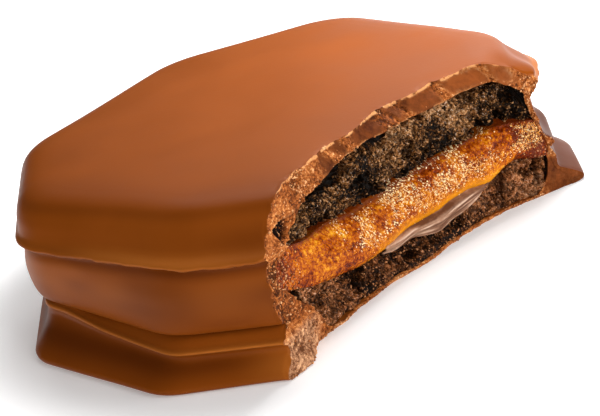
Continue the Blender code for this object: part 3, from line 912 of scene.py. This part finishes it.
def scatter_crumbs(edge, edge_crumble, upper, upper_tip, caramel, caramel_down, lower, lower_tip):
    """Chocolate crumbs on the broken edge, biscuit crumbs, and pale grains on the caramel."""
    share, depth, out = bite_place(edge)
    left = smooth((0.12 - share) / 0.1) + smooth((share - 0.93) / 0.04) + 0.12
    left *= 1.0 - smooth((share - 0.97) / 0.03) * smooth((5.0 - edge[..., 2]) / 0.6)
    scatter("chocolate_crumbs", edge, edge_crumble * left, 2600, (0.08, 0.34), 91,
            crumb_finish("chocolate_crumb", CHOCOLATE_TONES))
    scatter("upper_biscuit_crumbs", upper, upper_tip + 0.02, 1500, (0.10, 0.40), 92,
            crumb_finish("dark_crumb", DARK_TONES))
    scatter("lower_biscuit_crumbs", lower, lower_tip + 0.02, 1700, (0.10, 0.36), 93,
            crumb_finish("brown_crumb", BROWN_TONES))
    share, depth, out = bite_place(caramel)
    grainy = smooth((0.80 - caramel_down) / 0.3) * smooth((cloud(caramel, 3.2, 94, 2) + 0.1) / 0.4)
    grainy *= smooth(caramel_down / 0.15) * smooth((share - 0.08) / 0.2)
    scatter("caramel_grains", caramel, grainy + 0.005, 2600, (0.07, 0.24), 95,
            crumb_finish("caramel_grain", GRAIN_TONES))
    ends = smooth((-0.06 - share) / 0.08) + smooth((share - 0.94) / 0.05)
    scatter("caramel_end_crumbs", caramel, ends * (caramel_down > 0.05), 420, (0.10, 0.34), 96,
            crumb_finish("reddish_crumb", REDDISH_TONES))


# ---------------------------------------------------------------- finishes

def new_finish(name):
    """Empty material with its node tree and its shader."""
    finish = bpy.data.materials.new(name)
    finish.use_nodes = True
    tree = finish.node_tree
    return finish, tree, tree.nodes["Principled BSDF"]


def join(tree, value, socket):
    """Link a node output to a socket, or set the socket to a plain number or colour."""
    if isinstance(value, bpy.types.NodeSocket):
        tree.links.new(value, socket)
    elif isinstance(value, tuple) and len(value) == 3 and socket.type == "RGBA":
        socket.default_value = (*value, 1.0)
    else:
        socket.default_value = value


def place(tree):
    """Object coordinates."""
    return tree.nodes.new("ShaderNodeTexCoord").outputs["Object"]


def point_value(tree, name):
    """Value of a named point attribute."""
    node = tree.nodes.new("ShaderNodeAttribute")
    node.attribute_name = name
    return node.outputs["Fac"]


def noise(tree, where, size, detail=2.0, roughness=0.5, distortion=0.0):
    """Noise with features of the given size in metres."""
    node = tree.nodes.new("ShaderNodeTexNoise")
    join(tree, where, node.inputs["Vector"])
    node.inputs["Scale"].default_value = 1.0 / size
    node.inputs["Detail"].default_value = detail
    node.inputs["Roughness"].default_value = roughness
    node.inputs["Distortion"].default_value = distortion
    return node.outputs["Fac"]


def calculate(tree, operation, first, second=0.0, third=0.0):
    """One step of arithmetic."""
    node = tree.nodes.new("ShaderNodeMath")
    node.operation = operation
    for socket, value in zip(node.inputs, (first, second, third)):
        join(tree, value, socket)
    return node.outputs["Value"]


def spread(tree, value, low, high, new_low=0.0, new_high=1.0):
    """Value carried from one range to another, eased and held at its ends."""
    node = tree.nodes.new("ShaderNodeMapRange")
    node.interpolation_type = "SMOOTHSTEP"
    for socket, number in zip(node.inputs, (value, low, high, new_low, new_high)):
        join(tree, number, socket)
    return node.outputs["Result"]


def blend(tree, share, first, second, kind="MIX"):
    """Mix of two colours."""
    node = tree.nodes.new("ShaderNodeMix")
    node.data_type = "RGBA"
    node.blend_type = kind
    join(tree, share, node.inputs[0])
    join(tree, first, node.inputs[6])
    join(tree, second, node.inputs[7])
    return node.outputs[2]


def ramp(tree, value, stops):
    """Colour read from (place, colour) stops."""
    node = tree.nodes.new("ShaderNodeValToRGB")
    join(tree, value, node.inputs["Fac"])
    band = node.color_ramp.elements
    while len(band) < len(stops):
        band.new(0.5)
    for element, (where, colour) in zip(band, stops):
        element.position = where
        element.color = (*colour, 1.0)
    return node.outputs["Color"]


def bump(tree, height, depth, strength=1.0, below=None):
    """Bump of the given depth in metres."""
    node = tree.nodes.new("ShaderNodeBump")
    node.inputs["Strength"].default_value = strength
    node.inputs["Distance"].default_value = depth
    join(tree, height, node.inputs["Height"])
    if below is not None:
        join(tree, below, node.inputs["Normal"])
    return node.outputs["Normal"]


def speckle(tree, where, size, tip=None, lift=0.35, patch=None, swing=0.5):
    """Value about 0.5 with fine strong grain, raised on the tips as a painted highlight, and by broad patches.
    """
    value = noise(tree, where, size, 5.0, 0.78)
    if tip is not None:
        value = calculate(tree, "MULTIPLY_ADD", calculate(tree, "SUBTRACT", tip, 0.45), lift, value)
    if patch is not None:
        value = calculate(tree, "MULTIPLY_ADD", calculate(tree, "SUBTRACT", patch, 0.5), swing, value)
    return value


def milk_chocolate():
    """Satin milk chocolate with painted highlights and painted shade on its skin, and its broken edge: smooth
    facets, paler crumble between, and a pit painted near black.
    """
    finish, tree, shader = new_finish("milk_chocolate")
    where = place(tree)
    drift = noise(tree, where, 0.011, 3.0)
    skin = ramp(tree, drift, ((0.3, (0.21, 0.046, 0.0035)), (0.7, (0.24, 0.054, 0.0045))))
    tone = calculate(tree, "MULTIPLY_ADD", point_value(tree, "tip"), 0.35,
                     noise(tree, where, 0.0012, 4.0, 0.7))
    # Painted highlights on the skin, then painted shade
    skin = blend(tree, calculate(tree, "MULTIPLY", point_value(tree, "pale"), 0.8), skin,
                 (0.42, 0.125, 0.018))
    skin = blend(tree, calculate(tree, "MULTIPLY", point_value(tree, "painted_shade"), 0.6), skin,
                 (0.06, 0.010, 0.0008))
    facet = ramp(tree, tone, ((0.4, (0.055, 0.011, 0.0015)), (0.9, (0.20, 0.048, 0.008))))
    patch = noise(tree, where, 0.0026, 2.0)
    # Crumble paler on its lump tops: a painted highlight
    grain = speckle(tree, where, 0.0004, point_value(tree, "tip"), 0.22, patch, 0.45)
    crumb = ramp(tree, grain, ((0.30, (0.05, 0.012, 0.002)), (0.40, (0.20, 0.047, 0.008)),
                               (0.50, (0.38, 0.110, 0.022)), (0.60, (0.60, 0.24, 0.07)),
                               (0.70, (0.85, 0.50, 0.24))))
    broken = blend(tree, point_value(tree, "crumble"), facet, crumb)
    broken = blend(tree, spread(tree, point_value(tree, "fringe"), 0.35, 0.9, 0.0, 0.8), broken,
                   (0.72, 0.34, 0.13))
    broken = blend(tree, point_value(tree, "dust"), broken,
                   ramp(tree, grain, ((0.35, (0.15, 0.055, 0.022)), (0.65, (0.88, 0.56, 0.33)))))
    # The pit is painted near black: painted shade
    broken = blend(tree, spread(tree, point_value(tree, "pit"), 0.2, 0.7), broken,
                   (0.006, 0.002, 0.001))
    edge = spread(tree, point_value(tree, "broken"), 0.25, 0.9)
    join(tree, blend(tree, edge, skin, broken), shader.inputs["Base Color"])
    satin = spread(tree, drift, 0.3, 0.7, 0.34, 0.46)
    rough = blend_value(tree, edge, satin, 0.62)
    join(tree, rough, shader.inputs["Roughness"])
    shader.inputs["Specular IOR Level"].default_value = 0.06
    fine = noise(tree, where, 0.0004, 2.0)
    join(tree, bump(tree, fine, 0.00003, 0.25), shader.inputs["Normal"])
    return finish


def blend_value(tree, share, first, second):
    """Mix of two numbers."""
    node = tree.nodes.new("ShaderNodeMix")
    node.data_type = "FLOAT"
    join(tree, share, node.inputs[0])
    join(tree, first, node.inputs[2])
    join(tree, second, node.inputs[3])
    return node.outputs[0]


def cocoa_crumb(name, seed, stops, glint_tone):
    """Cocoa biscuit: near black hollows (painted shade) and patches, brown to warm pale speckles on top, paler
    grain tips (painted highlight) and painted glints.
    """
    finish, tree, shader = new_finish(name)
    where = place(tree)
    patch = noise(tree, where, 0.0016 + 0.00002 * seed, 3.0, 0.6)
    grain = speckle(tree, where, 0.00034, point_value(tree, "tip"), 0.18, patch, 0.45)
    grain = calculate(tree, "MULTIPLY_ADD", calculate(tree, "SUBTRACT", point_value(tree, "brown"), 0.4),
                      0.20, grain)
    colour = ramp(tree, grain, stops)
    glint = spread(tree, noise(tree, where, 0.00026, 2.0, 0.6), 0.60, 0.68)
    glint = calculate(tree, "MULTIPLY", glint, spread(tree, grain, 0.42, 0.56, 0.0, 0.85))
    colour = blend(tree, glint, colour, glint_tone)
    # Painted shade: holes, clefts and faces off the bite turn near black
    hollow = spread(tree, point_value(tree, "clump"), 0.02, 0.30, 0.65, 0.0)
    colour = blend(tree, hollow, colour, (0.004, 0.002, 0.001))
    join(tree, colour, shader.inputs["Base Color"])
    shader.inputs["Roughness"].default_value = 0.4
    shader.inputs["Specular IOR Level"].default_value = 0.05
    fine = noise(tree, where, 0.00020, 2.0)
    join(tree, bump(tree, fine, 0.00012, 0.8), shader.inputs["Normal"])
    return finish


UPPER_STOPS = ((0.41, (0.003, 0.0015, 0.0005)), (0.48, (0.050, 0.018, 0.004)),
               (0.54, (0.18, 0.068, 0.018)), (0.61, (0.38, 0.175, 0.060)),
               (0.72, (0.66, 0.42, 0.23)))
LOWER_STOPS = ((0.36, (0.005, 0.002, 0.0007)), (0.45, (0.060, 0.018, 0.004)),
               (0.53, (0.20, 0.064, 0.018)), (0.62, (0.42, 0.16, 0.060)),
               (0.74, (0.70, 0.38, 0.20)))
UPPER_GLINT = (0.66, 0.50, 0.38)
LOWER_GLINT = (0.70, 0.42, 0.29)
CHOCOLATE_TONES = ((0.0, (0.16, 0.040, 0.008)), (0.5, (0.42, 0.14, 0.036)), (1.0, (0.75, 0.40, 0.18)))
DARK_TONES = ((0.0, (0.004, 0.002, 0.001)), (0.5, (0.06, 0.022, 0.006)), (1.0, (0.40, 0.20, 0.08)))
BROWN_TONES = ((0.0, (0.02, 0.006, 0.001)), (0.5, (0.17, 0.056, 0.016)), (1.0, (0.58, 0.26, 0.11)))
REDDISH_TONES = ((0.0, (0.06, 0.012, 0.002)), (0.5, (0.24, 0.066, 0.018)), (1.0, (0.62, 0.30, 0.13)))
GRAIN_TONES = ((0.0, (0.55, 0.16, 0.01)), (0.5, (0.80, 0.40, 0.09)), (1.0, (0.95, 0.78, 0.46)))


def crumb_finish(name, tones):
    """Crumbs of one kind, each with its own tone, and a grain over all of them."""
    finish, tree, shader = new_finish(name)
    where = place(tree)
    value = calculate(tree, "MULTIPLY_ADD", noise(tree, where, 0.0003, 2.0), 0.5,
                      calculate(tree, "SUBTRACT", point_value(tree, "tone"), 0.25))
    join(tree, ramp(tree, value, tones), shader.inputs["Base Color"])
    shader.inputs["Roughness"].default_value = 0.45
    shader.inputs["Specular IOR Level"].default_value = 0.06
    return finish


def caramel_finish():
    """Glossy caramel: dark red-brown at the top, golden orange below with a painted glow of light, pale specks
    that are sugar grains and painted glints, painted shade at both ends.
    """
    finish, tree, shader = new_finish("caramel")
    where = place(tree)
    down = point_value(tree, "down")
    patch = noise(tree, where, 0.0032, 3.0, 0.6)
    # Grain tips paler: a painted highlight
    grain = speckle(tree, where, 0.00045, point_value(tree, "tip"), 0.14, patch, 0.55)
    # Painted shade at both ends of the bite
    grain = calculate(tree, "MULTIPLY_ADD", point_value(tree, "painted_end_shade"), -0.14, grain)
    warm = ramp(tree, grain, ((0.32, (0.09, 0.009, 0.0003)), (0.41, (0.25, 0.034, 0.0007)),
                              (0.50, (0.44, 0.098, 0.0015)), (0.58, (0.60, 0.20, 0.004)),
                              (0.70, (0.78, 0.40, 0.030))))
    fringe = spread(tree, down, 0.0, 0.13, 0.85, 0.0)
    warm = blend(tree, fringe, warm, (0.13, 0.020, 0.002))
    # Painted glow of light on the lower middle of the face
    painted_glow = spread(tree, down, 0.62, 0.88, 0.0, 0.75)
    painted_glow = calculate(tree, "MULTIPLY", painted_glow, point_value(tree, "painted_glow"))
    warm = blend(tree, painted_glow, warm, (0.72, 0.27, 0.007))
    # Pale specks: sugar grains and painted glints
    cluster = spread(tree, noise(tree, where, 0.0034, 3.0, 0.6), 0.40, 0.56, 0.0, 1.25)
    sugar = calculate(tree, "MULTIPLY", point_value(tree, "sugar"), cluster)
    speck = noise(tree, where, 0.00028, 4.0, 0.7)
    sugar = calculate(tree, "MULTIPLY", sugar, spread(tree, speck, 0.44, 0.58, 0.1, 1.6))
    warm = blend(tree, spread(tree, sugar, 0.18, 0.50, 0.0, 0.95), warm, (0.95, 0.74, 0.40))
    join(tree, warm, shader.inputs["Base Color"])
    shader.inputs["Roughness"].default_value = 0.22
    shader.inputs["Specular IOR Level"].default_value = 0.08
    fine = noise(tree, where, 0.00024, 2.0)
    join(tree, bump(tree, fine, 0.00012, 0.9), shader.inputs["Normal"])
    return finish


def caramel_skin_finish():
    """Drawn skin of the caramel: warm grey-brown with paler and darker streaks."""
    finish, tree, shader = new_finish("caramel_skin")
    tone = calculate(tree, "MULTIPLY_ADD", point_value(tree, "streak"), 0.6, 0.5)
    tone = calculate(tree, "MULTIPLY_ADD", noise(tree, place(tree), 0.0005, 4.0, 0.7), 0.4,
                     calculate(tree, "SUBTRACT", tone, 0.2))
    join(tree, ramp(tree, tone, ((0.28, (0.13, 0.052, 0.026)), (0.5, (0.30, 0.155, 0.090)),
                                 (0.72, (0.58, 0.39, 0.28)))), shader.inputs["Base Color"])
    shader.inputs["Roughness"].default_value = 0.35
    shader.inputs["Specular IOR Level"].default_value = 0.12
    return finish


def floor_finish():
    """Plain pale floor with a barely uneven tone, which glows as painted light: dim near the middle, brighter
    further out and white far away.
    """
    finish, tree, shader = new_finish("pale_floor")
    tone = noise(tree, place(tree), 0.2, 1.0)
    join(tree, ramp(tree, tone, ((0.3, (0.90, 0.90, 0.90)), (0.7, (0.93, 0.93, 0.93)))),
         shader.inputs["Base Color"])
    shader.inputs["Roughness"].default_value = 0.9
    # Painted light: the floor glows, dim close to the object and brighter further out
    away = tree.nodes.new("ShaderNodeVectorMath")
    away.operation = "LENGTH"
    join(tree, place(tree), away.inputs[0])
    painted_glow = ramp(tree, spread(tree, away.outputs["Value"], 0.034, 0.052),
                ((0.0, (0.20, 0.20, 0.20)), (1.0, (0.9, 0.9, 0.9))))
    painted_glow = blend(tree, spread(tree, away.outputs["Value"], 0.15, 0.9), painted_glow, (1.0, 1.0, 1.0))
    join(tree, painted_glow, shader.inputs["Emission Color"])
    shader.inputs["Emission Strength"].default_value = 1.0
    return finish


# ---------------------------------------------------------------- camera, light and floor

CAMERA_AIM = Vector((-0.63, -3.64, 5.97)) * MM
CAMERA_DISTANCE = 188.4 * MM
CAMERA_ELEVATION = np.radians(22.54)
CAMERA_TURN = np.radians(0.35)
CAMERA_ROLL = np.radians(-15.13)
CAMERA_LENS = 98.04     # on a sensor 36 mm wide


def make_camera():
    """Camera above the left front corner, rolled so that the base line climbs to the right."""
    forward = Vector((np.sin(CAMERA_TURN) * np.cos(CAMERA_ELEVATION),
                      np.cos(CAMERA_TURN) * np.cos(CAMERA_ELEVATION),
                      -np.sin(CAMERA_ELEVATION)))
    level_right = forward.cross(Vector((0.0, 0.0, 1.0))).normalized()
    level_up = level_right.cross(forward)
    right = level_right * np.cos(CAMERA_ROLL) + level_up * np.sin(CAMERA_ROLL)
    up = right.cross(forward)
    turn = Matrix((right, up, -forward)).transposed()
    data = bpy.data.cameras.new("camera")
    data.lens = CAMERA_LENS
    data.sensor_width = 36.0
    data.clip_start = 0.01
    camera = bpy.data.objects.new("camera", data)
    place_at = CAMERA_AIM - forward * CAMERA_DISTANCE
    camera.matrix_world = Matrix.Translation(place_at) @ turn.to_4x4()
    bpy.context.scene.collection.objects.link(camera)
    bpy.context.scene.camera = camera


def make_light(name, place_at, aim, size, power, glossy=True):
    """Square area light that faces its aim."""
    data = bpy.data.lights.new(name, "AREA")
    data.size = size
    data.energy = power
    light = bpy.data.objects.new(name, data)
    place_at, aim = Vector(place_at), Vector(aim)
    light.location = place_at
    light.rotation_euler = (place_at - aim).to_track_quat("Z", "Y").to_euler()
    light.visible_camera = False
    light.visible_glossy = glossy
    bpy.context.scene.collection.objects.link(light)


def surroundings():
    """Pale surroundings, brightest at the right and back and dim at the left and front."""
    world = bpy.data.worlds.new("surroundings")
    world.use_nodes = True
    tree = world.node_tree
    toward = tree.nodes.new("ShaderNodeVectorMath")
    toward.operation = "DOT_PRODUCT"
    tree.links.new(tree.nodes.new("ShaderNodeTexCoord").outputs["Generated"], toward.inputs[0])
    toward.inputs[1].default_value = (0.75, 0.45, 0.45)
    tone = ramp(tree, spread(tree, toward.outputs["Value"], -0.8, 0.9),
                ((0.0, (0.02, 0.02, 0.02)), (1.0, (0.06, 0.06, 0.06))))
    join(tree, tone, tree.nodes["Background"].inputs["Color"])
    return world


def make_stage():
    """Pale floor, pale surroundings and soft lights, the strongest from the right."""
    reach = 20.0
    mesh = bpy.data.meshes.new("floor")
    corners = [(x, y, 0.0) for x, y in ((-reach, -reach), (reach, -reach), (reach, reach), (-reach, reach))]
    mesh.from_pydata(corners, [], [(0, 1, 2, 3)])
    floor = bpy.data.objects.new("floor", mesh)
    floor.data.materials.append(floor_finish())
    bpy.context.scene.collection.objects.link(floor)
    bpy.context.scene.world = surroundings()
    middle = (0.0, 0.0, 0.01)
    make_light("overhead", (0.019, 0.009, 0.076), (0.010, 0.005, 0.018), 0.045, 0.031)
    make_light("overhead_right", (0.028, 0.018, 0.060), (0.018, 0.010, 0.018), 0.035, 0.037)
    make_light("front_right", (0.22, -0.26, 0.16), middle, 0.16, 0.66)
    make_light("left_front", (-0.25, -0.25, 0.12), middle, 0.20, 0.45, glossy=False)
    make_light("front_low", (0.28, -0.13, 0.05), middle, 0.14, 0.5)
    make_light("back_high", (0.02, 0.25, 0.25), middle, 0.20, 0.22)
    make_light("back_fill", (0.02, 0.25, 0.25), middle, 0.20, 0.30, glossy=False)
    make_light("back_right", (0.20, 0.33, 0.16), middle, 0.28, 0.28)
    make_light("back_low", (0.12, 0.36, 0.10), middle, 0.20, 0.12)
    bpy.context.scene.view_settings.view_transform = "Standard"


make_camera()
make_stage()
edge, edge_crumble = make_coating()
upper, upper_tip = make_biscuit("upper_cocoa_biscuit", UPPER_Z, UPPER_TOP, UPPER_JOINT, 64, 60,
                                "upper_biscuit", (UPPER_STOPS, UPPER_GLINT), UPPER_TONES)
caramel, caramel_down = make_caramel()
make_skin()
lower, lower_tip = make_biscuit("lower_cocoa_biscuit", LOWER_Z, LOWER_TOP, LOWER_BASE, 56, 70,
                                "lower_biscuit", (LOWER_STOPS, LOWER_GLINT), LOWER_TONES,
                                slope=1.0)
scatter_crumbs(edge, edge_crumble, upper, upper_tip, caramel, caramel_down, lower, lower_tip)
